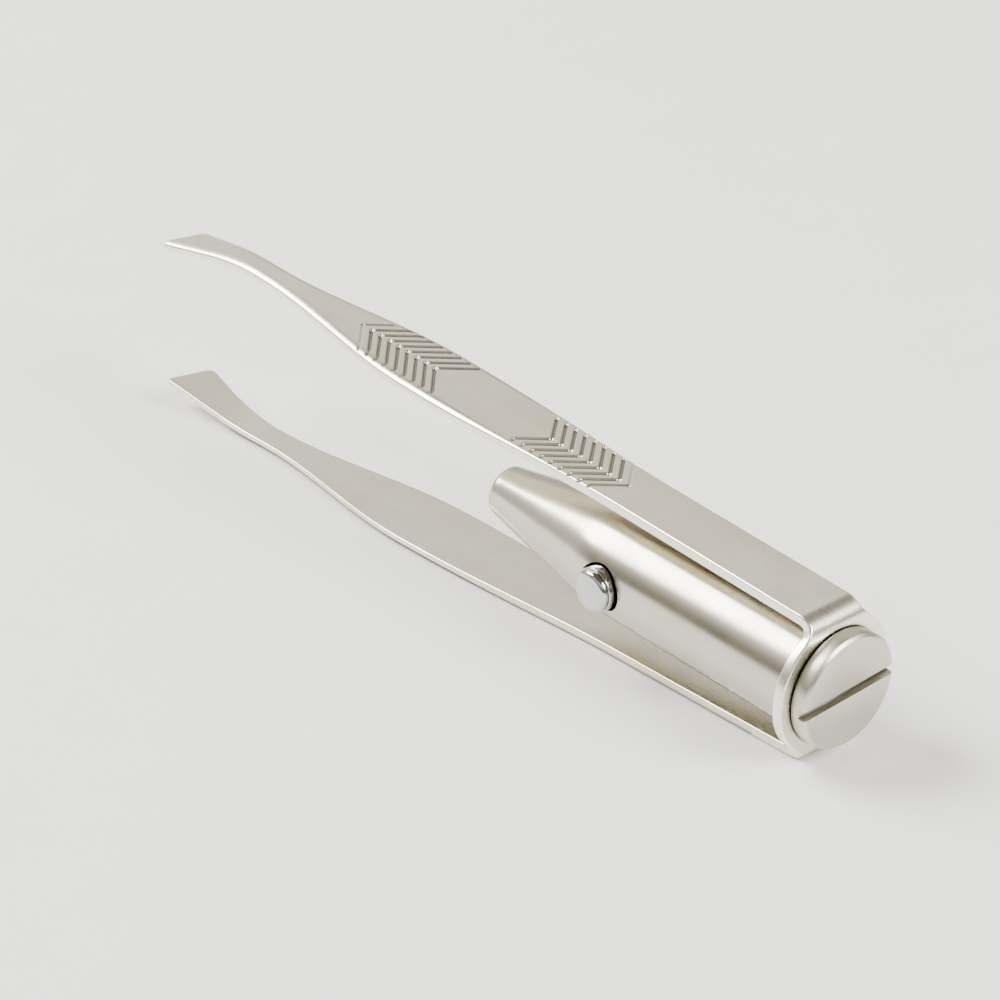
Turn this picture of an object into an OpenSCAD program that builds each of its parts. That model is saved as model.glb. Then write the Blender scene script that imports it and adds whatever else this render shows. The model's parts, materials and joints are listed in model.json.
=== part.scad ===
// Lighted slant tweezers: a bent spring-steel strip around a battery barrel with a lamp.
// Each piece is drawn along the barrel's axis (X, cap at +X, jaws at -X), then laid down
// so that the outer face of the lower arm rests on z = 0.

/* [Spring strip] */
// thickness of the steel strip
strip_t = 0.9; // [0.7:0.05:1.0]
// half height of the strip over its outer faces, at the back plate
back_half_h = 6.6; // [6.4:0.1:7.2]
// rise of each arm away from the axis, per mm of length
arm_slope = 0.037; // [0.034:0.001:0.045]
// length from the back plate's outer face to the longest corner of the jaws
arm_reach = 86.6; // [84:0.1:90]
// distance from the back plate to the line that each arm bends about
flex_x = 13; // [11:0.5:16]
// outer radius of the two soft bends at the back
bend_r = 1.8; // [1.3:0.1:2.0]
// diameter of the round boss of the back plate
boss_d = 12.4; // [11.8:0.1:13]

/* [Arm outline] */
// half width of the arms at the back
rear_half_w = 2.8; // [2.4:0.1:3.2]
// half width of the arms at the front grip
grip_half_w = 3.8; // [3.4:0.1:4.2]
// half width of the arms at the neck
neck_half_w = 1.42; // [1.2:0.02:1.8]
// half width of the jaws
jaw_half_w = 2.36; // [2.0:0.02:2.7]
// how much shorter the far corner of each jaw is than the near one
jaw_slant = 1.2; // [0.3:0.1:2.2]
// inward slope of the jaws, per mm
jaw_hook = 0.19; // [0.14:0.01:0.22]
// length of the bevel ground on the outside of each jaw
jaw_bevel = 0.8; // [0.5:0.1:2.5]
// thickness left at the edge of each jaw
jaw_edge_t = 0.55; // [0.2:0.05:0.7]

/* [Grip grooves] */
// grooves in each grip
groove_n = 9; // [5:1:9]
// spacing of the grooves in the front grip
front_pitch = 1.25; // [1.1:0.01:1.3]
// spacing of the grooves in the rear grip
rear_pitch = 1.2; // [1.1:0.01:1.25]
// depth of the grooves
groove_depth = 0.12; // [0.06:0.01:0.2]
// width of the grooves
groove_w = 0.56; // [0.4:0.02:0.7]
// apex of the first groove of the front grip, from the back plate
front_apex = 59.2; // [57:0.1:60]
// apex of the first groove of the rear grip, from the back plate
rear_apex = 33.8; // [32:0.1:35]
// distance from a groove's apex back to its ends, along the arm
groove_sweep = 2.6; // [1.5:0.1:2.8]

/* [Battery barrel] */
// outer diameter of the barrel
barrel_d = 9.7; // [9.7:0.1:10]
// bore of the barrel
barrel_bore = 8.5; // [8.5:0.05:8.6]
// where the nose cone starts, from the back plate
shoulder_x = 25.2; // [25:0.1:26]
// where the nose ends, from the back plate
nose_x = 39.5; // [38.5:0.1:40]
// diameter of the nose
nose_d = 4.8; // [4.6:0.1:5.2]
// how far the barrel stands out of the back plate
barrel_proud = 0.05; // [0.05:0.05:0.2]
// lean of the barrel's nose towards the upper arm, in degrees
barrel_tilt = 0.7; // [0:0.1:0.9]

/* [Battery cap] */
// diameter of the cap's head
cap_d = 10.2; // [10:0.1:10.6]
// thickness of the cap's head
cap_h = 1.5; // [1.3:0.05:1.7]
// length of the cap's threaded stud
stud_l = 2.8; // [2.6:0.1:2.8]
// pitch of the cap's thread
thread_pitch = 0.6; // [0.5:0.05:0.75]
// width of the coin slot
slot_w = 0.9; // [0.5:0.05:1.1]
// depth of the coin slot
slot_depth = 0.7; // [0.4:0.05:0.9]
// angle that the coin slot is turned to, in degrees
slot_turn = 3; // [0:1:90]

/* [Push button] */
// position of the button, from the back plate
button_x = 22.4; // [22:0.1:22.6]
// angle of the button above the barrel's side
button_angle = 0; // [0:1:8]
// diameter of the button
button_d = 4.0; // [3.8:0.05:4.05]
// height of the button's face above the barrel
button_proud = 1.2; // [1.0:0.05:1.5]
// travel of the button
button_travel = 0.75; // [0.5:0.05:0.8]

/* [Hidden] */
$fn = 96;
e = 0.01;

// standard sizes: 7.9 x 3.6 mm button cells and a 3 mm lamp with its flange
cell_d = 7.9;
cell_h = 3.6;
lamp_d = 3.0;
lamp_l = 5.3;
lamp_flange_r = 1.65;
lamp_flange_t = 1.0;
lead_off = 1.27;
lead_r = 0.25;

lay_angle = atan(arm_slope);
half_t = strip_t / 2;
barrel_r = barrel_d / 2;
bore_r = barrel_bore / 2;
boss_r = boss_d / 2;
cap_r = cap_d / 2;
cap_chamfer = 0.25;
button_r = button_d / 2;
steel = [0.84, 0.83, 0.80];
bright = [0.90, 0.90, 0.89];
brass = [0.80, 0.66, 0.36];
dark_plastic = [0.10, 0.10, 0.11];
milky = [0.85, 0.86, 0.84];

// outer face of the upper arm: height above the axis, d mm in front of the back plate
hook_start = 73.5;
hook_run = 6;
function hook_drop(u) =
    u <= 0 ? 0 : u < hook_run ? jaw_hook * u * u / (2 * hook_run) : jaw_hook * (u - hook_run / 2);
function arm_top(d) = back_half_h + arm_slope * d - hook_drop(d - hook_start);

// half width of the arm, d mm in front of the back plate
rear_end = 22;
grip_start = 47;
grip_end = 49.5;
neck_start = 72.5;
groove_margin = 0.6;
knuckle_play = 0.05;
function smooth(u) = u * u * (3 - 2 * u);
function blend(a, b, d, d0, d1) = a + (b - a) * smooth((d - d0) / (d1 - d0));
function half_w(d) =
    d < rear_end ? rear_half_w :
    d < grip_start ? blend(rear_half_w, grip_half_w, d, rear_end, grip_start) :
    d < grip_end ? grip_half_w :
    d < neck_start ? blend(grip_half_w, neck_half_w, d, grip_end, neck_start) :
    d < hook_start ? neck_half_w :
    neck_half_w + (jaw_half_w - neck_half_w) * pow((d - hook_start) / (arm_reach - hook_start), 1.5);

// the pieces in the barrel, counted forward from the back plate
head_x = barrel_proud + 0.05;
stud_end = stud_l - barrel_proud;
spring_gap = 0.05;
cells_x = stud_end + 2.0;
cells_end = cells_x + 3 * cell_h;
plate_t = 0.3;
carrier_x = cells_end + plate_t + 0.05;
carrier_end = 25.1;
nose_bore_d = lamp_d + 0.3;
cone_in_end = 36.6;
cone_in_r = 2.0;

// heights along the button's own axis, from the axis of the barrel outwards
face_u = barrel_r + button_proud;
flange_u = 3.4;
flange_t = 0.5;
flange_r = 2.3;
floor_u = 1.4;
floor_t = 0.3;
stem_r = 1.0;
button_shell = 0.4;
rim_r = button_r - 0.12;
button_bore_r = rim_r - 0.2 - button_shell;
disc_t = 0.2;
disc_r = 1.95;
strip_u = -0.1;
disc_u = strip_u + button_travel + 0.05;
contact_w = 0.8;
contact_t = 0.25;
contact_end = 1.2;
lamp_contact_l = 5.2;

// overall box of the laid-down part, to set the origin at its bottom centre
cap_angle = lay_angle + barrel_tilt;
cap_corner_x = (head_x + cap_h) * cos(cap_angle) + (cap_r - cap_chamfer) * sin(cap_angle);
jaw_corner_x = -arm_reach * cos(lay_angle) - (arm_top(arm_reach) - half_t) * sin(lay_angle);
shift_x = -(cap_corner_x + jaw_corner_x) / 2;
shift_z = back_half_h * cos(lay_angle);

module laid() {
    translate([shift_x, 0, shift_z])
        rotate([0, lay_angle, 0])
            children();
}

// the barrel and all that goes in it, leaning in the back plate
module in_barrel() {
    laid()
        rotate([0, barrel_tilt, 0])
            children();
}

// a shape of revolution about the barrel's axis, drawn as [radius, distance forward]
module turned() {
    rotate([0, -90, 0])
        rotate_extrude()
            children();
}

// frame of the push button: local Z points out of the barrel along the button's axis
module button_frame() {
    rotate([-button_angle, 0, 0])
        translate([-button_x, 0, 0])
            rotate([90, 0, 0])
                children();
}

// a round wire coil along +Z
module coil(r0, r1, wire, length, turns) {
    steps = 20 * turns;
    sides = 8;
    function centre(i) =
        let(a = 360 * turns * i / steps, r = r0 + (r1 - r0) * i / steps)
        [r * cos(a), r * sin(a), wire + (length - 2 * wire) * i / steps];
    points = [
        for (i = [0 : steps])
            let(a = 360 * turns * i / steps, c = centre(i))
            for (k = [0 : sides - 1])
                let(b = 360 * k / sides)
                c + wire * [cos(b) * cos(a), cos(b) * sin(a), sin(b)]
    ];
    rings = [
        for (i = [0 : steps - 1])
            for (k = [0 : sides - 1])
                let(n = (k + 1) % sides)
                [i * sides + k, (i + 1) * sides + k, (i + 1) * sides + n, i * sides + n]
    ];
    first = [for (k = [0 : sides - 1]) k];
    last = [for (k = [sides - 1 : -1 : 0]) steps * sides + k];
    polyhedron(points, concat(rings, [first, last]), convexity = 10);
}

// ---- spring strip ----

// straight part of one arm from the back plate forward, as seen from the side
module strip_side(d0, d1) {
    polygon([
        [-d0, arm_top(d0)],
        [-d1, arm_top(d1)],
        [-d1, arm_top(d1) - strip_t],
        [-d0, arm_top(d0) - strip_t]
    ]);
}

module bow_side() {
    // U of the back plate and the two rear stubs, with soft bends
    inner_r = bend_r - strip_t;
    bend_z = back_half_h - bend_r;
    bend_lap = 0.3;
    translate([-strip_t, -bend_z])
        square([strip_t, 2 * bend_z]);
    for (side = [-1, 1])
        scale([1, side]) {
            intersection() {
                translate([-bend_r, bend_z])
                    difference() {
                        circle(bend_r);
                        circle(inner_r);
                    }
                translate([-bend_r - bend_lap, bend_z])
                    square(2 * bend_r);
            }
            strip_side(bend_r, flex_x);
        }
}

module spring_bow() color(steel) laid() {
    clear_r = half_t + knuckle_play;
    difference() {
        union() {
            rotate([90, 0, 0])
                translate([0, 0, -rear_half_w])
                    linear_extrude(2 * rear_half_w)
                        bow_side();
            difference() {
                turned()
                    square([boss_r, strip_t]);
                for (side = [-1, 1])
                    scale([1, 1, side])
                        translate([-bend_r, -rear_half_w, back_half_h - bend_r])
                            cube([2 * bend_r, 2 * rear_half_w, 2 * bend_r]);
            }
        }
        rotate([0, 90 + barrel_tilt, 0])
            cylinder(h = 4 * strip_t, r = barrel_r, center = true);
        for (side = [-1, 1])
            translate([-flex_x, 0, side * (arm_top(flex_x) - half_t)])
                rotate([90, 0, 0])
                    cylinder(h = 3 * rear_half_w, r = clear_r, center = true);
    }
}

// grip grooves, cut in the plane of the arm's outer face
module groove(apex_d, way) {
    // way = 1 points the apex at the jaws, -1 at the cap
    end_d = apex_d - way * groove_sweep;
    end_y = half_w(end_d) - groove_margin;
    length = norm([groove_sweep, end_y]);
    turn = atan2(end_y, way * groove_sweep);
    for (side = [-1, 1])
        translate([-apex_d, 0, 0])
            rotate([0, 0, side * turn])
                rotate([90, 0, 90])
                    linear_extrude(length)
                        polygon([[0, -groove_depth], [groove_w, groove_depth], [-groove_w, groove_depth]]);
}

module grip_grooves() {
    translate([0, 0, back_half_h])
        rotate([0, lay_angle, 0])
            for (i = [0 : groove_n - 1]) {
                groove(front_apex - i * front_pitch, 1);
                groove(rear_apex - i * rear_pitch, -1);
            }
}

module arm_plan() {
    stations = 32;
    tail = [for (i = [0 : stations]) flex_x + (arm_reach - flex_x) * i / stations];
    polygon(concat(
        [for (d = tail) [-d, -half_w(d)]],
        [for (i = [stations : -1 : 0])
            [-tail[i] + (i == stations ? jaw_slant : 0), half_w(tail[i])]]
    ));
}

module arm_side() {
    steps = 12;
    hooked = [for (i = [0 : steps]) hook_start + (arm_reach - jaw_bevel - hook_start) * i / steps];
    edge_z = arm_top(arm_reach) - strip_t + jaw_edge_t;
    polygon(concat(
        [[-flex_x, arm_top(flex_x)]],
        [for (d = hooked) [-d, arm_top(d)]],
        [[-arm_reach, edge_z]],
        [[-arm_reach, edge_z - jaw_edge_t]],
        [for (i = [steps : -1 : 0]) [-hooked[i], arm_top(hooked[i]) - strip_t]],
        [[-flex_x, arm_top(flex_x) - strip_t]]
    ));
}

module arm_blank() {
    pivot_z = arm_top(flex_x) - half_t;
    difference() {
        union() {
            intersection() {
                rotate([90, 0, 0])
                    linear_extrude(4 * grip_half_w, center = true)
                        arm_side();
                linear_extrude(2 * back_half_h)
                    arm_plan();
            }
            translate([-flex_x, 0, pivot_z])
                rotate([90, 0, 0])
                    cylinder(h = 2 * rear_half_w, r = half_t - 0.03, center = true);
        }
        grip_grooves();
    }
}

module upper_arm() color(steel) laid()
    arm_blank();

module lower_arm() color(steel) laid()
    scale([1, 1, -1])
        arm_blank();

// ---- barrel, cells and cap ----

module light_barrel() color(steel) in_barrel() difference() {
    nose_r = nose_d / 2;
    round_r = 0.8;
    hole_r = button_r + 0.1;
    lip_depth = 0.35;
    turned()
        difference() {
            union() {
                polygon([
                    [0, -barrel_proud],
                    [barrel_r, -barrel_proud],
                    [barrel_r, shoulder_x],
                    [nose_r, nose_x - round_r],
                    [nose_r - round_r, nose_x],
                    [0, nose_x]
                ]);
                translate([nose_r - round_r, nose_x - round_r])
                    circle(round_r);
            }
            polygon([
                [-1, -barrel_proud - 1],
                [bore_r, -barrel_proud - 1],
                [bore_r, carrier_end],
                [cone_in_r, cone_in_end],
                [nose_bore_d / 2, cone_in_end],
                [nose_bore_d / 2, nose_x + 1],
                [-1, nose_x + 1]
            ]);
        }
    button_frame() {
        cylinder(h = barrel_d, r = hole_r);
        translate([0, 0, barrel_r - lip_depth])
            cylinder(h = 1, r1 = hole_r, r2 = hole_r + 0.7);
    }
}

module battery_cap() color(steel) in_barrel() difference() {
    core_r = bore_r - 0.34;
    crest_r = bore_r - 0.04;
    pip_r = 1.6;
    pip_h = 0.6;
    ridge = [[0, 0.1], [1, 0.28], [1, 0.36], [0, 0.54]];
    ridges = floor((stud_l - 0.8) / thread_pitch);
    first = stud_end - 0.1 - ridges * thread_pitch;
    turned()
        polygon(concat(
            [
                [0, -head_x - cap_h],
                [cap_r - cap_chamfer, -head_x - cap_h],
                [cap_r, -head_x - cap_h + cap_chamfer],
                [cap_r, -head_x],
                [core_r, -head_x]
            ],
            [
                for (i = [0 : ridges - 1])
                    for (p = ridge)
                        [core_r + p[0] * (crest_r - core_r), first + i * thread_pitch + p[1]]
            ],
            [
                [core_r, stud_end],
                [pip_r, stud_end],
                [pip_r, stud_end + pip_h],
                [0, stud_end + pip_h]
            ]
        ));
    rotate([slot_turn, 0, 0])
        translate([head_x + cap_h - slot_depth, -cap_d, -slot_w / 2])
            cube([2, 2 * cap_d, slot_w]);
}

module cap_spring() color(bright) in_barrel() {
    tip_r = 1.95;
    foot_r = 3.0;
    wire_r = 0.2;
    translate([-stud_end - spring_gap, 0, 0])
        rotate([0, -90, 0])
            coil(tip_r, foot_r, wire_r, cells_x - stud_end - 2 * spring_gap, 2.5);
}

module button_cell(n) {
    can_r = cell_d / 2;
    top_r = can_r - 0.7;
    round_r = 0.3;
    step_h = 0.35;
    turned()
        translate([0, cells_x + n * cell_h])
            union() {
                polygon([
                    [0, 0],
                    [top_r, 0],
                    [top_r, step_h],
                    [can_r, step_h],
                    [can_r, cell_h - round_r],
                    [can_r - round_r, cell_h],
                    [0, cell_h]
                ]);
                translate([can_r - round_r, cell_h - round_r])
                    circle(round_r);
            }
}

module rear_cell() color(bright) in_barrel() button_cell(0);

module middle_cell() color(bright) in_barrel() button_cell(1);

module front_cell() color(bright) in_barrel() button_cell(2);

module cell_sleeve() color(milky) in_barrel() {
    inner_r = cell_d / 2 + 0.05;
    outer_r = bore_r - 0.02;
    end_gap = 0.1;
    turned()
        translate([inner_r, cells_x + end_gap])
            square([outer_r - inner_r, 3 * cell_h - 2 * end_gap]);
}

// ---- switch ----

module switch_carrier() color(dark_plastic) in_barrel() difference() {
    slot_play = 0.02;
    turned()
        translate([0, carrier_x])
            square([bore_r - 0.02, carrier_end - carrier_x]);
    button_frame() {
        translate([0, 0, floor_u])
            cylinder(h = bore_r, r = flange_r + 0.15);
        translate([0, 0, floor_u - floor_t - barrel_d])
            cylinder(h = barrel_d, r = disc_r + 0.15);
        cylinder(h = bore_r, r = stem_r + 0.06);
        for (side = [-1, 1])
            translate([0, side * lead_off, strip_u - contact_t / 2])
                cube([2 * barrel_d, contact_w + 2 * slot_play, contact_t + 2 * slot_play], center = true);
    }
}

module push_button() color(bright) in_barrel() button_frame() {
    round_r = 0.45;
    waist_r = rim_r - 0.2;
    skirt_top = face_u - 0.95;
    skirt_bottom = flange_u + 0.02;
    rotate_extrude()
        polygon(concat(
            [[button_bore_r, skirt_bottom], [button_r, skirt_bottom], [button_r, skirt_top]],
            [[waist_r, skirt_top + 0.12], [waist_r, skirt_top + 0.24], [rim_r, skirt_top + 0.34]],
            [
                for (a = [0 : 18 : 90])
                    [rim_r - round_r + round_r * cos(a), face_u - round_r + round_r * sin(a)]
            ],
            [[0, face_u], [0, face_u - button_shell], [button_bore_r, face_u - button_shell]]
        ));
}

module button_stem() color(dark_plastic) in_barrel() button_frame() {
    translate([0, 0, disc_u + disc_t])
        cylinder(h = flange_u - disc_u - disc_t, r = stem_r);
    translate([0, 0, flange_u - flange_t])
        cylinder(h = flange_t, r = flange_r);
    translate([0, 0, flange_u - e])
        cylinder(h = face_u - button_shell - 0.02 - flange_u + e, r = button_bore_r - 0.02);
}

module button_spring() color(bright) in_barrel() button_frame() {
    coil_r = 1.5;
    wire_r = 0.12;
    end_gap = 0.02;
    translate([0, 0, floor_u + end_gap])
        coil(coil_r, coil_r, wire_r, flange_u - flange_t - floor_u - 2 * end_gap, 3.5);
}

module moving_contact() color(brass) in_barrel() button_frame()
    translate([0, 0, disc_u])
        cylinder(h = disc_t, r = disc_r);

module cell_contact() color(brass) in_barrel() {
    plate_r = 3.6;
    turned()
        translate([0, cells_end])
            square([plate_r, plate_t]);
    button_frame()
        translate([-contact_end, lead_off - contact_w / 2, strip_u - contact_t])
            cube([button_x - cells_end - plate_t + contact_end + e, contact_w, contact_t]);
}

module lamp_contact() color(brass) in_barrel() button_frame()
    translate([-lamp_contact_l, -lead_off - contact_w / 2, strip_u - contact_t])
        cube([lamp_contact_l + contact_end, contact_w, contact_t]);

// ---- lamp ----

lamp_tip = nose_x - 0.4;
lamp_base = lamp_tip - lamp_l;
lamp_r = lamp_d / 2;

module lamp() color([0.93, 0.95, 0.98, 0.5]) in_barrel()
    turned() {
        translate([0, lamp_base])
            square([lamp_flange_r, lamp_flange_t]);
        translate([0, lamp_base])
            square([lamp_r, lamp_l - lamp_r]);
        intersection() {
            translate([0, lamp_tip - lamp_r])
                circle(lamp_r);
            translate([0, lamp_base])
                square([lamp_d, 2 * lamp_l]);
        }
    }

module lamp_holder() color(dark_plastic) in_barrel() {
    cone_step = (bore_r - cone_in_r) / (cone_in_end - carrier_end);
    holder_start = 31.2;
    holder_end = 36.4;
    play = 0.03;
    lead_bore_r = 1.7;
    turned()
        difference() {
            polygon([
                [0, holder_start],
                [bore_r - cone_step * (holder_start - carrier_end) - play, holder_start],
                [bore_r - cone_step * (holder_end - carrier_end) - play, holder_end],
                [0, holder_end]
            ]);
            translate([-1, lamp_base - 0.02])
                square([1 + lamp_flange_r + play, lamp_flange_t + 0.04]);
            translate([-1, lamp_base])
                square([1 + lamp_r + play, 2 * lamp_l]);
            translate([-1, holder_start - 1])
                square([1 + lead_bore_r, 1 + lamp_base - holder_start]);
        }
}

module anode_lead() color(bright) in_barrel()
    rotate([-button_angle, 0, 0])
        translate([-lamp_base, -strip_u - lead_r, -lead_off])
            rotate([0, 90, 0])
                cylinder(h = lamp_base - button_x - lamp_contact_l + 1, r = lead_r, $fn = 24);

module cathode_lead() color(bright) in_barrel()
    rotate([-button_angle, 0, 0]) {
        bend_x = 29;
        wall_r = bore_r - (bore_r - cone_in_r) * (bend_x - carrier_end) / (cone_in_end - carrier_end);
        translate([-lamp_base, -strip_u - lead_r, lead_off])
            rotate([0, 90, 0])
                cylinder(h = lamp_base - bend_x, r = lead_r, $fn = 24);
        translate([-bend_x, -strip_u - lead_r, lead_off - lead_r])
            cylinder(h = wall_r - lead_off + lead_r - 0.2, r = lead_r, $fn = 24);
    }

spring_bow();
upper_arm();
lower_arm();
light_barrel();
battery_cap();
cap_spring();
rear_cell();
middle_cell();
front_cell();
cell_sleeve();
switch_carrier();
push_button();
button_stem();
button_spring();
moving_contact();
cell_contact();
lamp_contact();
lamp();
lamp_holder();
anode_lead();
cathode_lead();
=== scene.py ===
"""Looks of the lighted slant tweezers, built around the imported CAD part.

Shapes are worked out in the tool's own frame, in millimetres: the barrel's axis is X with the cap at
+X and the jaws at -X, the push button is on the -Y side, and x = 0 is the outer face of the back
plate. BARREL and STRIP lay them down the way the part lies, from the axis of the cap's joint.
"""

import json
import math

import bmesh
import bpy
import numpy as np
from mathutils import Matrix, Vector


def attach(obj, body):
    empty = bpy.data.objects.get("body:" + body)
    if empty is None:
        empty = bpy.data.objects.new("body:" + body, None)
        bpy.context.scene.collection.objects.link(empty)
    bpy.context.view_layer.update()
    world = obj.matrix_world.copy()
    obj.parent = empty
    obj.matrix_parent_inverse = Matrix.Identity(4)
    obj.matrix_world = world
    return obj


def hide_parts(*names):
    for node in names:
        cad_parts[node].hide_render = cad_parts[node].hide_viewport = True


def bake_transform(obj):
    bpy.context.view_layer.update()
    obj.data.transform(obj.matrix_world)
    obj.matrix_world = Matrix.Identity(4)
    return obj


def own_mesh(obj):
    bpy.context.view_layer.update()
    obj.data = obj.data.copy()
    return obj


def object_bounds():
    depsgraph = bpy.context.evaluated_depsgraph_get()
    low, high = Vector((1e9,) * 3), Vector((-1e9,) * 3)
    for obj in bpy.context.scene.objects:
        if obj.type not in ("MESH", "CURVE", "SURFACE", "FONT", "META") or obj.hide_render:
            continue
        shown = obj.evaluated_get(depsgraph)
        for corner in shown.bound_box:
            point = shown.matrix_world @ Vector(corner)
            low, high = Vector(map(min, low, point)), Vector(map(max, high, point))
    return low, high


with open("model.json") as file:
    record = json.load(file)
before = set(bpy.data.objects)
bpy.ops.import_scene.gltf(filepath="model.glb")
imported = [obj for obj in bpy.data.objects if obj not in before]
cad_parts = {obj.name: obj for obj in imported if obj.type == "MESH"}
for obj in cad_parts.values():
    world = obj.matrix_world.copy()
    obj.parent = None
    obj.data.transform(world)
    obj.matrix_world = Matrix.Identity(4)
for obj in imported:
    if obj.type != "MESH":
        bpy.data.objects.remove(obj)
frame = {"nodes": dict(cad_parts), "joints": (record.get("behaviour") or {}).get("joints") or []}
CAD_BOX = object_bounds()

# ---- driving dimensions of the part, in millimetres ----

STRIP_T = 0.9
BACK_HALF_H = 6.6
ARM_SLOPE = 0.037
ARM_REACH = 86.6
BEND_R = 1.8
BOSS_R = 6.2
REAR_HALF_W, GRIP_HALF_W, NECK_HALF_W, JAW_HALF_W = 2.8, 3.8, 1.42, 2.36
REAR_END, GRIP_START, GRIP_END, NECK_START = 22, 47, 49.5, 72.5
HOOK_START, HOOK_RUN, HOOK_SLOPE = 73.5, 6, 0.19
JAW_SLANT, JAW_BEVEL, JAW_EDGE_T = 1.2, 0.4, 0.7
GROOVE_N, GROOVE_HALF_W, GROOVE_DEPTH = 9, 0.24, 0.20
# each grip: where its first groove is, the spacing, and the near and far halves of a groove as
# points of (distance ahead of the apex, distance across)
FRONT_GRIP = (59.2, 1.25, [(0, 0.05), (-3.0, -2.75), (-3.05, -3.0)], [(-0.25, 0.35), (-2.5, 3.05)])
REAR_GRIP = (33.8, 1.20, [(0, -0.05), (2.0, -2.4), (1.95, -2.75)], [(0.2, 0.3), (2.3, 2.7)])
BARREL_R, BORE_R, SHOULDER_X, NOSE_X, NOSE_R = 4.85, 4.25, 25.2, 39.5, 2.4
BARREL_END, BARREL_TILT = 0.05, math.radians(0.7)
NOSE_BORE_R = 1.65
CARRIER_END, CONE_END, CONE_END_R = 25.1, 36.6, 2.0
CAP_R, CAP_CHAMFER, CAP_BACK, CAP_FACE = 5.1, 0.25, 0.07, 1.6
STUD_END, STUD_CORE_R, STUD_CREST_R, THREAD_PITCH = 2.75, 3.91, 4.21, 0.6
SLOT_W, SLOT_DEPTH, SLOT_TURN = 0.9, 0.7, math.radians(3)
BUTTON_X, BUTTON_R = 22.4, 2.0
BUTTON_FACE, BUTTON_FOOT = BARREL_R + 1.2, 3.42
COIL_FOOT, COIL_TOP, COIL_R, COIL_WIRE_R, COIL_TURNS = 1.42, 2.88, 1.5, 0.12, 3.5

# where one half of the strip hands over to the next piece, in front of the back plate
SEAM = 6.0
# how far the curved faces stay inside the straight facets of the part
SKIN = 0.004

# ---- the camera: angles in degrees, distance and target in metres, lens in millimetres ----

CAMERA_AZIMUTH, CAMERA_ELEVATION, CAMERA_ROLL = 49.015, 28.218, -0.545
CAMERA_DISTANCE, CAMERA_LENS = 0.28033, 115.2
CAMERA_TARGET = (0.00196, 0.00026, 0.00691)


# ---- the tool's frame ----

def barrel_matrix():
    """Barrel frame to part frame, in metres, from the joint that the cap turns on."""
    turn = next(j for j in frame["joints"] if j["name"] == "cap_turn")
    x = Vector(turn["axis"]).normalized()
    y = Vector((0, 1, 0))
    z = x.cross(y)
    rotation = Matrix((x, y, z)).transposed().to_4x4()
    return Matrix.Translation(turn["pos_m"]) @ rotation


BARREL = barrel_matrix()
STRIP = BARREL @ Matrix.Rotation(-BARREL_TILT, 4, "Y")


def placed(matrix, x, y, z):
    """A point given in millimetres, in metres in the frame of the matrix."""
    return matrix @ Vector((x / 1000, y / 1000, z / 1000))


def arm_top(d):
    """Height of the upper arm's outer face above the barrel's axis, d in front of the back plate."""
    u = d - HOOK_START
    bent = np.where(u < HOOK_RUN, HOOK_SLOPE * u * u / (2 * HOOK_RUN), HOOK_SLOPE * (u - HOOK_RUN / 2))
    return BACK_HALF_H - SKIN + ARM_SLOPE * d - np.where(u > 0, bent, 0)


def smooth(u):
    u = np.clip(u, 0, 1)
    return u * u * (3 - 2 * u)


def half_width(d):
    """Half width of an arm, d in front of the back plate."""
    grip = REAR_HALF_W + (GRIP_HALF_W - REAR_HALF_W) * smooth((d - REAR_END) / (GRIP_START - REAR_END))
    neck = GRIP_HALF_W + (NECK_HALF_W - GRIP_HALF_W) * smooth((d - GRIP_END) / (NECK_START - GRIP_END))
    jaw_u = np.clip((d - HOOK_START) / (ARM_REACH - HOOK_START), 0, 1)
    jaw = NECK_HALF_W + (JAW_HALF_W - NECK_HALF_W) * jaw_u ** 1.5
    return np.where(d < GRIP_END, grip, np.where(d < HOOK_START, neck, jaw))


# ---- mesh helpers ----

def mesh_object(name, points, faces, matrix, sharp=30):
    """A mesh from points in millimetres, in the frame of the matrix."""
    mesh = bpy.data.meshes.new(name)
    mesh.from_pydata([placed(matrix, *p) for p in points], [], faces)
    mesh.update()
    obj = bpy.data.objects.new(name, mesh)
    bpy.context.scene.collection.objects.link(obj)
    tidy(obj, sharp)
    return obj


def tidy(obj, sharp=30):
    """Welds points, turns the faces outwards and sets where the shading breaks."""
    bm = bmesh.new()
    bm.from_mesh(obj.data)
    bmesh.ops.remove_doubles(bm, verts=bm.verts, dist=1e-7)
    bmesh.ops.recalc_face_normals(bm, faces=bm.faces)
    bm.to_mesh(obj.data)
    bm.free()
    obj.data.shade_smooth()
    obj.data.set_sharp_from_angle(angle=math.radians(sharp))


def ring_mesh(rings):
    """Joins equal closed rings of points, given as arrays, into points and faces."""
    n = len(rings[0])
    points = [tuple(p) for ring in rings for p in ring]
    faces = []
    for i in range(len(rings) - 1):
        for k in range(n):
            m = (k + 1) % n
            faces.append((i * n + k, i * n + m, (i + 1) * n + m, (i + 1) * n + k))
    last = (len(rings) - 1) * n
    faces.append(tuple(range(n - 1, -1, -1)))
    faces.append(tuple(range(last, last + n)))
    return points, faces


def lathe(name, profile, turns=128, sharp=30):
    """A solid of revolution about the barrel's axis, from a closed outline of (x, radius)."""
    points, faces = [], []
    n = len(profile)
    index = []
    for x, r in profile:
        row = []
        if r < 1e-6:
            row = [len(points)] * turns
            points.append((x, 0, 0))
        else:
            for k in range(turns):
                a = 2 * math.pi * k / turns
                row.append(len(points))
                points.append((x, r * math.cos(a), r * math.sin(a)))
        index.append(row)
    for i in range(n):
        j = (i + 1) % n
        for k in range(turns):
            m = (k + 1) % turns
            corners = []
            for p in (index[i][k], index[i][m], index[j][m], index[j][k]):
                if p not in corners:
                    corners.append(p)
            if len(corners) > 2:
                faces.append(corners)
    return mesh_object(name, points, faces, BARREL, sharp)


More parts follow.
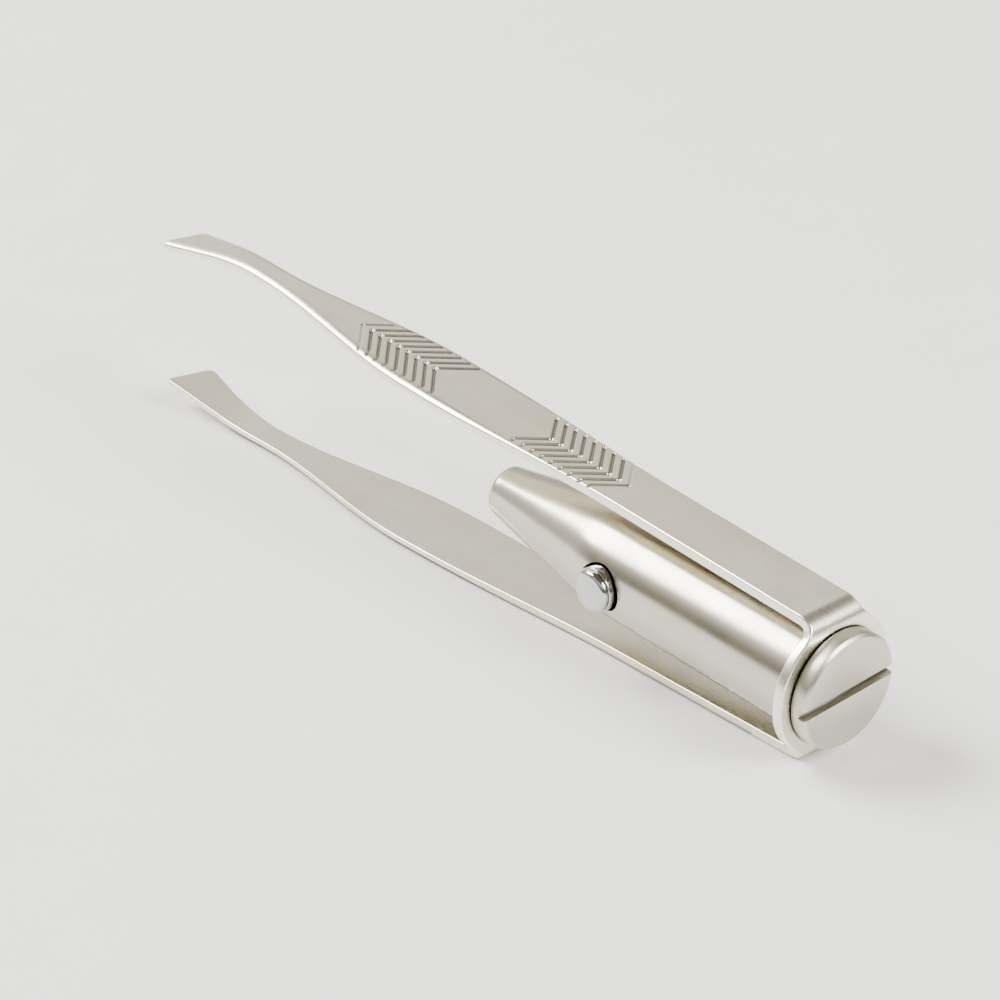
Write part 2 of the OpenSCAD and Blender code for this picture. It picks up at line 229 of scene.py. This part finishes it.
def arc(cx, cy, r, start, stop, steps):
    """Points on an arc, angles in degrees."""
    out = []
    for i in range(steps + 1):
        a = math.radians(start + (stop - start) * i / steps)
        out.append((cx + r * math.cos(a), cy + r * math.sin(a)))
    return out


def cut(obj, cutter, sharp=30):
    """Takes cutter out of obj, and deletes it."""
    mod = obj.modifiers.new("cut", "BOOLEAN")
    mod.operation = "DIFFERENCE"
    mod.solver = "EXACT"
    mod.object = cutter
    apply_modifiers(obj)
    bpy.data.objects.remove(cutter)
    tidy(obj, sharp)


def apply_modifiers(obj):
    depsgraph = bpy.context.evaluated_depsgraph_get()
    mesh = bpy.data.meshes.new_from_object(obj.evaluated_get(depsgraph))
    obj.modifiers.clear()
    obj.data = mesh


def soften(obj, width, segments, angle, sharp=50):
    """Rounds the edges of a piece, in millimetres."""
    mod = obj.modifiers.new("soften", "BEVEL")
    mod.width = width / 1000
    mod.segments = segments
    mod.limit_method = "ANGLE"
    mod.angle_limit = math.radians(angle)
    mod.harden_normals = False
    apply_modifiers(obj)
    tidy(obj, sharp)


# ---- the spring strip ----

TOP_STEPS, BOTTOM_STEPS = 120, 12
EDGE_STEPS = 8
INNER_BREAK = 0.12
# width and height of the outer edges' rounding at the back, what they gain towards the grips, and where
ROUNDING_REAR, ROUNDING_GAIN = (0.22, 0.20), (0.75, 0.32)
ROUNDING_START, ROUNDING_RUN = 30, 16
# the length over which a jaw's end turns slanted
SLANT_RUN = 7
NEAR_CORNER, FAR_CORNER = 0.4, 0.6
PIT_R, PIT_DEPTH = 0.32, 0.24
# the first groove of the front grip and the last of the rear one are only lightly pressed
FAINT_GROOVES = {(FRONT_GRIP[0], 0), (REAR_GRIP[0], GROOVE_N - 1)}
FAINT = 0.45
# how far along the arm a groove can reach from its apex
GROOVE_REACH = 4.5


def section(near_w, far_w, thick, round_w, round_h):
    """Closed outline of the strip's section as (across, up), up = 0 at mid thickness.

    The outer face's edges are rounded over round_w by round_h, the inner ones only broken.
    """
    h = thick / 2
    rw = min(round_w, near_w - 0.05, far_w - 0.05)
    rh = min(round_h, thick * 0.6)
    small = min(INNER_BREAK, thick * 0.3)
    across = np.linspace(rw - near_w, far_w - rw, TOP_STEPS)
    turn = np.linspace(0, math.pi / 2, EDGE_STEPS + 1)[1:]
    top = [(y, h) for y in across]
    outer = [(rw * math.sin(a), h - rh + rh * math.cos(a)) for a in turn]
    inner = [(small * math.cos(a), small - h - small * math.sin(a)) for a in turn[:-1]]
    far = [(far_w - rw + y, z) for y, z in outer] + [(far_w, small - h)]
    far += [(far_w - small + y, z) for y, z in inner]
    near = [(rw - near_w - y, z) for y, z in outer] + [(-near_w, small - h)]
    near += [(small - near_w - y, z) for y, z in inner]
    bottom = [(y, -h) for y in np.linspace(far_w - small, small - near_w, BOTTOM_STEPS)]
    return np.array(top + far + bottom + near[::-1])


def edge_rounding(d):
    """Width and height of the rounding along the outer face's edges."""
    grow = smooth((d - ROUNDING_START) / ROUNDING_RUN)
    return tuple(rear + gain * grow for rear, gain in zip(ROUNDING_REAR, ROUNDING_GAIN))


def distance_to(points, d, y):
    """Distance from places on the arm to a run of straight lines."""
    best = np.full(np.broadcast(d, y).shape, 1e9)
    for (d0, y0), (d1, y1) in zip(points, points[1:]):
        run, rise = d1 - d0, y1 - y0
        along = np.clip(((d - d0) * run + (y - y0) * rise) / (run * run + rise * rise), 0, 1)
        best = np.minimum(best, np.hypot(d - d0 - along * run, y - y0 - along * rise))
    return best


def groove_depth(d, y):
    """How deep the pressed grip grooves are at distance d along an arm, for places y across it."""
    total = np.zeros(np.broadcast(d, y).shape)
    for apex, pitch, near, far in (FRONT_GRIP, REAR_GRIP):
        for i in range(GROOVE_N):
            a = apex - i * pitch
            if abs(d - a) > GROOVE_REACH:
                continue
            pressed = FAINT if (apex, i) in FAINT_GROOVES else 1.0
            for line in (near, far):
                away = distance_to([(a + p, q) for p, q in line], d, y) / GROOVE_HALF_W
                total = np.maximum(total, pressed * GROOVE_DEPTH * (1 - smooth(away)))
            pit = np.hypot(d - a, y - near[0][1]) / PIT_R
            total = np.maximum(total, pressed * PIT_DEPTH * (1 - smooth(pit)))
    return total


def arm_stations():
    """Distances in front of the back plate at which an arm has a section."""
    marks = [
        (SEAM, 23.0, 0.5), (23.0, 37.0, 0.055), (37.0, 45.0, 0.3), (45.0, 60.5, 0.055),
        (60.5, ARM_REACH - 1.0, 0.3), (ARM_REACH - 1.0, ARM_REACH - 0.2, 0.05),
        (ARM_REACH - 0.2, ARM_REACH, 0.02)
    ]
    out = []
    for start, stop, step in marks:
        out += list(np.arange(start, stop - step / 2, step))
    return np.array(out + [ARM_REACH - 0.005])


def corner_cut(d, r):
    """How much a rounded corner of radius r takes off the width near the end of a jaw."""
    u = max(0.0, d - (ARM_REACH - r))
    return r - math.sqrt(max(r * r - u * u, 0))


def arm_piece(name, side):
    """One arm from the seam to the jaw: side is 1 for the upper one, -1 for the lower one."""
    rings = []
    for d in arm_stations():
        w = float(half_width(np.array(d)))
        bevel = max(0.0, (d - (ARM_REACH - JAW_BEVEL)) / JAW_BEVEL)
        thick = STRIP_T - (STRIP_T - JAW_EDGE_T) * bevel
        top = float(arm_top(np.array(d))) - (STRIP_T - thick)
        near_w, far_w = w - corner_cut(d, NEAR_CORNER), w - corner_cut(d, FAR_CORNER)
        ring = section(near_w, far_w, thick, *edge_rounding(d))
        y, up = ring[:, 0], ring[:, 1]
        pressed = np.where(up > 0, groove_depth(d, y), 0)
        slant = JAW_SLANT * (y + JAW_HALF_W) / (2 * JAW_HALF_W)
        slant = slant * smooth((d - ARM_REACH + SLANT_RUN) / SLANT_RUN)
        z = top - thick / 2 + up - pressed
        rings.append(np.column_stack([-d + slant, y, side * z]))
    points, faces = ring_mesh(rings)
    return mesh_object(name, points, faces, STRIP, sharp=50)


def bow_path():
    """Mid line of the bow as (x, z, nx, nz): from the upper seam round to the lower one."""
    rows = []
    mid_r = BEND_R - STRIP_T / 2
    bend_z = BACK_HALF_H - BEND_R
    bend_steps, plate_step = 18, 0.12
    for d in np.arange(SEAM, BEND_R, -0.25):
        rows.append((-d, arm_top(np.array(d)) - STRIP_T / 2, 0.0, 1.0))
    for i in range(bend_steps + 1):
        a = math.radians(90 - 90 * i / bend_steps)
        lift = (ARM_SLOPE * BEND_R) * (1 - i / bend_steps)
        nx, nz = math.cos(a), math.sin(a)
        rows.append((-BEND_R + mid_r * nx, bend_z + mid_r * nz + lift, nx, nz))
    for z in np.arange(bend_z - plate_step, 0, -plate_step):
        rows.append((-STRIP_T / 2, z, 1.0, 0.0))
    lower = [(x, -z, nx, -nz) for x, z, nx, nz in rows[::-1]]
    return rows + [(-STRIP_T / 2, 0.0, 1.0, 0.0)] + lower


def bow_half_width(z):
    """Half width of the bow at a height: the arms' width, swelling into the round boss."""
    z = abs(z)
    boss = math.sqrt(max(BOSS_R ** 2 - z ** 2, 0))
    blend = 0.5
    gap = max(0.0, 1 - abs(boss - REAR_HALF_W) / (2 * blend))
    return min(BOSS_R, max(boss, REAR_HALF_W) + blend * gap * gap / 2)


def bow_piece():
    """The back of the strip: the plate with its round boss, and the bends into both arms."""
    rings = []
    for x, z, nx, nz in bow_path():
        w = bow_half_width(z)
        ring = section(w, w, STRIP_T, *edge_rounding(0))
        rings.append(np.column_stack([x + nx * ring[:, 1], ring[:, 0], z + nz * ring[:, 1]]))
    points, faces = ring_mesh(rings)
    bow = mesh_object("bow", points, faces, STRIP, sharp=50)
    hole = lathe("hole", [(-3, 0), (3, 0), (3, BARREL_R), (-3, BARREL_R)])
    cut(bow, hole, sharp=40)
    return bow


# ---- barrel, cap and button ----

def barrel_piece():
    """The light's hollow barrel, from its open back end to the nose."""
    nose_round = 0.8
    half_turn, turn_steps = 1.5, 8
    outline = [(BARREL_END, BORE_R), (BARREL_END, BARREL_R - 0.1), (BARREL_END - 0.1, BARREL_R)]
    outline += [(-x, BARREL_R) for x in np.arange(1.0, 18.0, 1.0)]
    outline += [(-x, BARREL_R) for x in np.arange(18.0, SHOULDER_X - half_turn, 0.4)]
    slope = (BARREL_R - NOSE_R) / (NOSE_X - nose_round - SHOULDER_X)
    for i in range(turn_steps + 1):
        u = -half_turn + 2 * half_turn * i / turn_steps
        drop = slope * (u + half_turn) ** 2 / (4 * half_turn)
        outline.append((-SHOULDER_X - u, BARREL_R - drop))
    cone_x = np.arange(SHOULDER_X + 2.0, NOSE_X - nose_round - 0.2, 0.5)
    outline += [(-x, BARREL_R - slope * (x - SHOULDER_X)) for x in cone_x]
    outline += [(-x, r) for x, r in arc(NOSE_X - nose_round, NOSE_R - nose_round, nose_round, 90, 0, 10)]
    outline += [(-NOSE_X, NOSE_BORE_R + 0.12), (-NOSE_X + 0.12, NOSE_BORE_R)]
    outline += [(-CONE_END, NOSE_BORE_R), (-CONE_END, CONE_END_R), (-CARRIER_END, BORE_R)]
    barrel = lathe("barrel_tube", outline, turns=160)
    # the button's hole, with its edge drawn into a soft lip
    hole_r = BUTTON_R + 0.1
    top = BARREL_R
    profile = [
        (0, 0), (hole_r, 0), (hole_r, top - 0.60), (hole_r + 0.05, top - 0.36),
        (hole_r + 0.14, top - 0.14), (hole_r + 0.26, top + 0.01), (hole_r + 0.6, top + 0.12),
        (hole_r + 0.6, top + 2), (0, top + 2)
    ]
    cut(barrel, button_lathe("hole", profile), sharp=32)
    return barrel


def button_matrix():
    """The button's own frame in the tool's: Z points out of the barrel."""
    out = Vector((0, -1, 0))
    x = Vector((1, 0, 0))
    y = out.cross(x)
    return Matrix.Translation((-BUTTON_X, 0, 0)) @ Matrix((x, y, out)).transposed().to_4x4()


def button_lathe(name, profile, turns=96, sharp=30):
    """A solid of revolution about the button's axis, from a closed outline of (radius, height)."""
    piece = lathe(name, [(h, r) for r, h in profile], turns=turns, sharp=sharp)
    turn = Matrix(((0, 1, 0, 0), (0, 0, 1, 0), (1, 0, 0, 0), (0, 0, 0, 1)))
    place = button_matrix()
    place.translation /= 1000
    piece.data.transform(BARREL @ place @ turn @ BARREL.inverted())
    tidy(piece, sharp)
    return piece


def button_piece():
    """The push button's head, hollow for its stem."""
    rim = BUTTON_R - 0.12
    top = BUTTON_FACE
    inner = rim - 0.65
    round_r, dome = 0.48, 0.08
    profile = [(0, top), (0, top - 0.4), (inner, top - 0.4), (inner, BUTTON_FOOT)]
    profile += [(BUTTON_R - 0.06, BUTTON_FOOT), (BUTTON_R, BUTTON_FOOT + 0.08), (BUTTON_R, top - 0.80)]
    profile += arc(BUTTON_R - 0.10, top - 0.78, 0.10, 0, 90, 4)
    profile += [(rim - 0.14, top - 0.67), (rim - 0.17, top - 0.63), (rim - 0.14, top - 0.58)]
    profile += [(rim - 0.03, top - 0.54), (rim, top - 0.50)]
    profile += arc(rim - round_r, top - dome - round_r, round_r, 0, 80, 12)
    profile += [(rim * f, top - dome * f * f) for f in (0.62, 0.45, 0.3, 0.15)]
    return button_lathe("button_cap", profile, sharp=40)


def coil_piece():
    """The button's return spring, on a helix about the button's axis."""
    steps, sides = int(36 * COIL_TURNS), 12
    rise = COIL_TOP - COIL_FOOT - 2 * COIL_WIRE_R
    rings = []
    for i in range(steps + 1):
        a = 2 * math.pi * COIL_TURNS * i / steps
        up = COIL_FOOT + COIL_WIRE_R + rise * i / steps
        ring = []
        for k in range(sides):
            b = 2 * math.pi * k / sides
            r = COIL_R + COIL_WIRE_R * math.cos(b)
            ring.append((r * math.cos(a), r * math.sin(a), up + COIL_WIRE_R * math.sin(b)))
        rings.append(np.array(ring))
    points, faces = ring_mesh(rings)
    place = button_matrix()
    place.translation /= 1000
    return mesh_object("return_coil", points, faces, BARREL @ place)


def cap_piece():
    """The slotted battery cap and its stud, without the thread."""
    outline = [(CAP_FACE, 0), (CAP_FACE, CAP_R - CAP_CHAMFER), (CAP_FACE - CAP_CHAMFER, CAP_R)]
    outline += [(CAP_BACK + 0.06, CAP_R), (CAP_BACK, CAP_R - 0.06)]
    outline += [(CAP_BACK, STUD_CORE_R), (-STUD_END + 0.15, STUD_CORE_R)]
    outline += [(-STUD_END, STUD_CORE_R - 0.15), (-STUD_END, 1.6), (-STUD_END - 0.5, 1.6)]
    outline += [(-STUD_END - 0.6, 1.5), (-STUD_END - 0.6, 0)]
    cap = lathe("cap_head", outline, turns=160, sharp=35)
    slot = box_piece("slot", (CAP_FACE - SLOT_DEPTH, CAP_FACE + 1), (-8, 8), (-SLOT_W / 2, SLOT_W / 2))
    slot.data.transform(BARREL @ Matrix.Rotation(SLOT_TURN, 4, "X") @ BARREL.inverted())
    cut(cap, slot, sharp=35)
    soften(cap, 0.03, segments=2, angle=40)
    return cap


def box_piece(name, xs, ys, zs):
    points = [(x, y, z) for x in xs for y in ys for z in zs]
    faces = [(0, 1, 3, 2), (4, 6, 7, 5), (0, 4, 5, 1), (2, 3, 7, 6), (0, 2, 6, 4), (1, 5, 7, 3)]
    return mesh_object(name, points, faces, BARREL)


def thread_piece():
    """The cap's thread: a ridge that climbs the stud as a helix."""
    turns = (STUD_END - 0.5) / THREAD_PITCH
    steps = int(72 * turns)
    half = THREAD_PITCH * 0.42
    foot = STUD_CORE_R - 0.05
    start, run, fade_steps, crest_half = 0.35, STUD_END - 0.65, 30, 0.05
    rings = []
    for i in range(steps + 1):
        a = 2 * math.pi * turns * i / steps
        x = -start - run * i / steps
        fade = min(1, i / fade_steps, (steps - i) / fade_steps)
        crest = STUD_CORE_R + (STUD_CREST_R - STUD_CORE_R) * fade - 0.02
        ring = [(x + half, foot), (x + crest_half, crest), (x - crest_half, crest), (x - half, foot)]
        rings.append(np.array([(px, r * math.cos(a), r * math.sin(a)) for px, r in ring]))
    points, faces = ring_mesh(rings)
    return mesh_object("cap_thread", points, faces, BARREL)


# ---- materials ----

class Nodes:
    """A material's node tree, with short calls for what the materials below need."""

    def __init__(self, name, **sockets):
        self.material = bpy.data.materials.new(name)
        self.material.use_nodes = True
        self.tree = self.material.node_tree
        self.tree.nodes.clear()
        self.out = self.add("ShaderNodeOutputMaterial")
        self.shader = self.add("ShaderNodeBsdfPrincipled")
        for key, value in sockets.items():
            self.shader.inputs[key.replace("_", " ")].default_value = value
        self.link(self.shader.outputs[0], self.out.inputs["Surface"])
        self.coords = self.add("ShaderNodeTexCoord").outputs["Object"]

    def add(self, kind, **settings):
        node = self.tree.nodes.new(kind)
        for key, value in settings.items():
            setattr(node, key, value)
        return node

    def link(self, source, target):
        self.tree.links.new(source, target)

    def stretched(self, scale, rotation=(0, 0, 0)):
        node = self.add("ShaderNodeMapping")
        node.inputs["Scale"].default_value = scale
        node.inputs["Rotation"].default_value = rotation
        self.link(self.coords, node.inputs["Vector"])
        return node.outputs[0]

    def noise(self, vector, scale=1.0, detail=4.0, roughness=0.55, distortion=0.0):
        node = self.add("ShaderNodeTexNoise")
        node.inputs["Scale"].default_value = scale
        node.inputs["Detail"].default_value = detail
        node.inputs["Roughness"].default_value = roughness
        node.inputs["Distortion"].default_value = distortion
        self.link(vector, node.inputs["Vector"])
        return node.outputs["Fac"]

    def remap(self, value, low, high, to_low, to_high):
        node = self.add("ShaderNodeMapRange")
        ends = (("From Min", low), ("From Max", high), ("To Min", to_low), ("To Max", to_high))
        for key, number in ends:
            node.inputs[key].default_value = number
        self.link(value, node.inputs["Value"])
        return node.outputs[0]

    def math(self, operation, a, b):
        node = self.add("ShaderNodeMath", operation=operation)
        for socket, value in zip(node.inputs, (a, b)):
            if isinstance(value, (int, float)):
                socket.default_value = value
            else:
                self.link(value, socket)
        return node.outputs[0]

    def mix(self, factor, first, second):
        node = self.add("ShaderNodeMix", data_type="RGBA")
        self.link(factor, node.inputs["Factor"])
        colours = [s for s in node.inputs if s.type == "RGBA"]
        for socket, value in zip(colours, (first, second)):
            if isinstance(value, tuple):
                socket.default_value = (*value, 1)
            else:
                self.link(value, socket)
        return next(s for s in node.outputs if s.type == "RGBA")

    def bump(self, height, distance, strength=1.0, normal=None):
        node = self.add("ShaderNodeBump")
        node.inputs["Distance"].default_value = distance
        node.inputs["Strength"].default_value = strength
        self.link(height, node.inputs["Height"])
        if normal is not None:
            self.link(normal, node.inputs["Normal"])
        return node.outputs[0]

    def painted_shade(self, colour, reach, strength, dark=(0.06, 0.05, 0.04)):
        """Painted shade: darkens the colour in narrow grooves and gaps, where ambient occlusion finds
        close walls.
        """
        node = self.add("ShaderNodeAmbientOcclusion", samples=8)
        node.inputs["Distance"].default_value = reach
        return self.mix(self.remap(node.outputs["AO"], 0.60, 0.95, strength, 0), colour, dark)

    def scratches(self, rotation, scale, width):
        """Thin hairline marks, 1 on a mark and 0 elsewhere."""
        field = self.noise(self.stretched(scale, rotation), 1.0, detail=1.0, distortion=0.3)
        return self.remap(self.math("ABSOLUTE", self.math("SUBTRACT", field, 0.5), 0), 0, width, 1, 0)


def satin_steel(name, colour, grain, roughness, marks, shade_setting):
    """Satin nickel: a fine directional grain, soft cloudiness, hairline scratches and pits."""
    n = Nodes(name, Metallic=1.0, Anisotropic=0.35)
    dark = tuple(c * 0.80 for c in colour)
    warm = (colour[0] * 0.97, colour[1] * 0.94, colour[2] * 0.87)
    cloud = n.noise(n.stretched((160, 160, 160)), 1.0, detail=5)
    fine = n.noise(n.stretched(grain), 1.0, detail=3)
    pits = n.noise(n.stretched((1500, 1500, 1500)), 1.0, detail=2)
    scratch_a = n.scratches((0.3, 0.2, 0.5), (90, 1400, 900), 0.012)
    scratch_b = n.scratches((0.9, -0.4, -0.7), (120, 1100, 1300), 0.010)
    scratch = n.math("MULTIPLY", n.math("MAXIMUM", scratch_a, scratch_b), marks)
    tint = n.mix(n.remap(cloud, 0.35, 0.65, 0, 1), colour, warm)
    tint = n.mix(n.remap(pits, 0.30, 0.36, 0.6 * marks, 0), tint, dark)
    # painted shade: the grooves, the slot and the gaps are darkened in the base colour
    n.link(n.painted_shade(tint, *shade_setting), n.shader.inputs["Base Color"])
    rough = n.math("ADD", n.remap(cloud, 0.3, 0.7, roughness - 0.02, roughness + 0.03),
                   n.remap(fine, 0.2, 0.8, -0.02, 0.02))
    rough = n.math("ADD", rough, n.math("MULTIPLY", scratch, 0.08))
    n.link(rough, n.shader.inputs["Roughness"])
    relief = n.bump(fine, 0.0000007, 1.0)
    relief = n.bump(cloud, 0.00002, 0.2 * marks, relief)
    relief = n.bump(scratch, -0.000002, 1.0, relief)
    relief = n.bump(n.remap(pits, 0.30, 0.42, 0, 1), 0.000004, marks, relief)
    n.link(relief, n.shader.inputs["Normal"])
    return n.material


def bright_metal(name, colour, roughness):
    """Polished metal with faint smears and fine rub marks."""
    n = Nodes(name, Metallic=1.0)
    cloud = n.noise(n.stretched((500, 500, 500)), 1.0, detail=4)
    rub = n.scratches((0.4, 0.7, 0.2), (300, 4000, 3000), 0.02)
    tint = n.mix(n.remap(cloud, 0.3, 0.7, 0, 1), colour, tuple(c * 0.93 for c in colour))
    n.link(tint, n.shader.inputs["Base Color"])
    rough = n.math("ADD", n.remap(cloud, 0.3, 0.7, roughness * 0.7, roughness * 1.5),
                   n.math("MULTIPLY", rub, 0.06))
    n.link(rough, n.shader.inputs["Roughness"])
    n.link(n.bump(cloud, 0.00001, 0.25), n.shader.inputs["Normal"])
    return n.material


def plastic(name, colour, roughness, mottle=0.1, **sockets):
    """Moulded plastic with a fine eggshell grain."""
    n = Nodes(name, **sockets)
    grain = n.noise(n.stretched((2500, 2500, 2500)), 1.0, detail=3)
    cloud = n.noise(n.stretched((300, 300, 300)), 1.0, detail=3)
    tint = n.mix(n.remap(cloud, 0.3, 0.7, 0, 1), colour, tuple(c * (1 - mottle) for c in colour))
    n.link(tint, n.shader.inputs["Base Color"])
    n.link(n.remap(grain, 0.3, 0.7, roughness - 0.05, roughness + 0.08), n.shader.inputs["Roughness"])
    n.link(n.bump(grain, 0.000008, 0.5), n.shader.inputs["Normal"])
    return n.material


def floor_material():
    n = Nodes("floor_white")
    grain = n.noise(n.stretched((90, 90, 90)), 1.0, detail=3)
    n.link(n.mix(grain, (0.90, 0.90, 0.90), (0.93, 0.93, 0.93)), n.shader.inputs["Base Color"])
    n.link(n.remap(grain, 0, 1, 0.55, 0.65), n.shader.inputs["Roughness"])
    return n.material


def dress(obj, material, smooth_angle=None):
    """Gives a piece its only material, and where asked its shading by angle."""
    obj.data.materials.clear()
    obj.data.materials.append(material)
    if smooth_angle is not None:
        obj.data.shade_smooth()
        obj.data.set_sharp_from_angle(angle=math.radians(smooth_angle))


# ---- the stage ----

# metres and watts
FLOOR_HALF = 3.0
KEY_PLACE, FILL_PLACE = (-0.55, -0.30, 0.62), (0.80, 0.25, 0.62)
LIGHT_SIZE, LIGHT_POWER, LIGHT_COLOUR = 0.5, 17.0, (1.0, 0.99, 0.97)
# the sky's colour by the height of the direction, from the horizon up
SKY = (
    (0.00, (0.16, 0.13, 0.085)), (0.16, (0.24, 0.20, 0.13)), (0.32, (0.58, 0.53, 0.44)),
    (0.45, (1.28, 1.24, 1.15)), (0.56, (1.28, 1.25, 1.19)), (0.70, (0.25, 0.22, 0.165))
)
# the sky on the jaws' side, which their outer faces reflect, and where along X it comes in
JAW_SIDE, JAW_SIDE_FROM, JAW_SIDE_TO = (1.15, 1.12, 1.05, 1), -0.6, -0.8
# a warm patch of sky that the lower jaw's face reflects: direction, inner and outer radius in degrees
PATCH, PATCH_TOWARD, PATCH_INNER, PATCH_OUTER = (1.25, 1.18, 1.02, 1), (-0.532, 0.516, 0.671), 8, 14
# what the camera sees past the edge of the floor
BACKDROP = (1.6, 1.6, 1.58, 1)


def make_floor(material):
    low = CAD_BOX[0].z
    corners = [(x * FLOOR_HALF, y * FLOOR_HALF, low) for x, y in ((-1, -1), (1, -1), (1, 1), (-1, 1))]
    mesh = bpy.data.meshes.new("floor")
    mesh.from_pydata(corners, [], [(0, 1, 2, 3)])
    floor = bpy.data.objects.new("floor", mesh)
    bpy.context.scene.collection.objects.link(floor)
    floor.data.materials.append(material)


def area_light(name, place):
    """A soft light turned towards the origin."""
    light = bpy.data.lights.new(name, "AREA")
    light.shape = "RECTANGLE"
    light.size = light.size_y = LIGHT_SIZE
    light.energy = LIGHT_POWER
    light.color = LIGHT_COLOUR
    obj = bpy.data.objects.new(name, light)
    obj.location = place
    obj.rotation_euler = (-Vector(place)).to_track_quat("-Z", "Y").to_euler()
    bpy.context.scene.collection.objects.link(obj)


def sky_mix(tree, factor, source, colour):
    """Mixes a colour into what a world node gives, by another node's factor."""
    mix = tree.nodes.new("ShaderNodeMix")
    mix.data_type = "RGBA"
    first, second = [s for s in mix.inputs if s.type == "RGBA"]
    second.default_value = colour
    tree.links.new(factor, mix.inputs["Factor"])
    tree.links.new(source, first)
    return next(s for s in mix.outputs if s.type == "RGBA")


def make_world():
    """A dim sky with a light band, for what the metal reflects."""
    world = bpy.data.worlds.new("studio")
    world.use_nodes = True
    tree = world.node_tree
    background = tree.nodes["Background"]
    coords = tree.nodes.new("ShaderNodeTexCoord")
    split = tree.nodes.new("ShaderNodeSeparateXYZ")
    ramp = tree.nodes.new("ShaderNodeValToRGB")
    tree.links.new(coords.outputs["Generated"], split.inputs[0])
    tree.links.new(split.outputs["Z"], ramp.inputs["Fac"])
    stops = ramp.color_ramp.elements
    stops[0].position, stops[1].position = SKY[0][0], SKY[-1][0]
    stops[0].color, stops[1].color = (*SKY[0][1], 1), (*SKY[-1][1], 1)
    for position, colour in SKY[1:-1]:
        stops.new(position).color = (*colour, 1)
    side = tree.nodes.new("ShaderNodeMapRange")
    side.inputs["From Min"].default_value = JAW_SIDE_FROM
    side.inputs["From Max"].default_value = JAW_SIDE_TO
    tree.links.new(split.outputs["X"], side.inputs["Value"])
    sky = sky_mix(tree, side.outputs[0], ramp.outputs["Color"], JAW_SIDE)
    toward = tree.nodes.new("ShaderNodeVectorMath")
    toward.operation = "DOT_PRODUCT"
    toward.inputs[1].default_value = PATCH_TOWARD
    tree.links.new(coords.outputs["Generated"], toward.inputs[0])
    patch = tree.nodes.new("ShaderNodeMapRange")
    patch.inputs["From Min"].default_value = math.cos(math.radians(PATCH_OUTER))
    patch.inputs["From Max"].default_value = math.cos(math.radians(PATCH_INNER))
    tree.links.new(toward.outputs["Value"], patch.inputs["Value"])
    sky = sky_mix(tree, patch.outputs[0], sky, PATCH)
    camera_ray = tree.nodes.new("ShaderNodeLightPath").outputs["Is Camera Ray"]
    tree.links.new(sky_mix(tree, camera_ray, sky, BACKDROP), background.inputs["Color"])
    bpy.context.scene.world = world


def make_camera():
    data = bpy.data.cameras.new("camera")
    data.sensor_width = 36
    data.lens = CAMERA_LENS
    data.clip_start = 0.01
    camera = bpy.data.objects.new("camera", data)
    a, e = math.radians(CAMERA_AZIMUTH), math.radians(CAMERA_ELEVATION)
    back = Vector((math.sin(a) * math.cos(e), -math.cos(a) * math.cos(e), math.sin(e)))
    camera.location = Vector(CAMERA_TARGET) + back * CAMERA_DISTANCE
    roll = Matrix.Rotation(math.radians(CAMERA_ROLL), 4, "Z")
    camera.rotation_euler = ((-back).to_track_quat("-Z", "Y").to_matrix().to_4x4() @ roll).to_euler()
    bpy.context.scene.collection.objects.link(camera)
    bpy.context.scene.camera = camera


# ---- putting it together ----

def build():
    nickel, along = (0.85, 0.83, 0.735), (60, 900, 900)
    # the last figures of each steel: reach and strength of the painted shade in grooves and gaps
    steel = satin_steel("arm_steel", nickel, along, 0.27, 0.6, (0.0005, 1.0))
    plate = satin_steel("plate_steel", nickel, along, 0.27, 0.6, (0.00022, 0.7))
    tube = satin_steel("barrel_steel", (0.51, 0.485, 0.42), (900, 900, 900), 0.24, 0.05, (0.0002, 0.3))
    capped = satin_steel("cap_steel", (0.57, 0.55, 0.485), (900, 900, 900), 0.34, 0.5, (0.0006, 0.85))
    chrome = bright_metal("button_chrome", (0.50, 0.50, 0.51), 0.05)
    wire = bright_metal("spring_wire", (0.70, 0.70, 0.70), 0.2)
    can = bright_metal("cell_can", (0.74, 0.74, 0.73), 0.18)
    brass = bright_metal("contact_brass", (0.78, 0.60, 0.30), 0.22)
    black = plastic("black_plastic", (0.03, 0.03, 0.035), 0.45)
    milky = plastic("milky_plastic", (0.84, 0.85, 0.82), 0.4, 0.05, Alpha=0.75)
    resin = plastic("lamp_resin", (0.93, 0.95, 0.98), 0.08, 0.03, Transmission_Weight=0.85, IOR=1.5)

    bow = bow_piece()
    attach(bow, "frame")
    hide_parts("spring_bow")
    dress(bow, plate)
    for name, side, body in (("arm_top", 1, "upper_arm"), ("arm_bottom", -1, "lower_arm")):
        arm = arm_piece(name, side)
        dress(arm, steel)
        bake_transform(arm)
        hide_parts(body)

    barrel = barrel_piece()
    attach(barrel, "frame")
    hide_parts("light_barrel")
    dress(barrel, tube)

    cap = cap_piece()
    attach(cap, "cap")
    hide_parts("battery_cap")
    dress(cap, capped)
    thread = thread_piece()
    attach(thread, "cap")
    dress(thread, capped)

    button = button_piece()
    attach(button, "button")
    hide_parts("push_button")
    dress(button, chrome)

    coil = coil_piece()
    dress(coil, wire)
    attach(coil, "frame")
    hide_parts("button_spring")
    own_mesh(coil)

    kept = {
        "cap_spring": wire, "anode_lead": wire, "cathode_lead": wire,
        "rear_cell": can, "middle_cell": can, "front_cell": can, "cell_sleeve": milky,
        "switch_carrier": black, "button_stem": black, "lamp_holder": black, "lamp": resin,
        "moving_contact": brass, "cell_contact": brass, "lamp_contact": brass
    }
    for node, material in kept.items():
        dress(frame["nodes"][node], material, 30)

    make_floor(floor_material())
    area_light("key", KEY_PLACE)
    area_light("fill", FILL_PLACE)
    make_world()
    make_camera()


build()
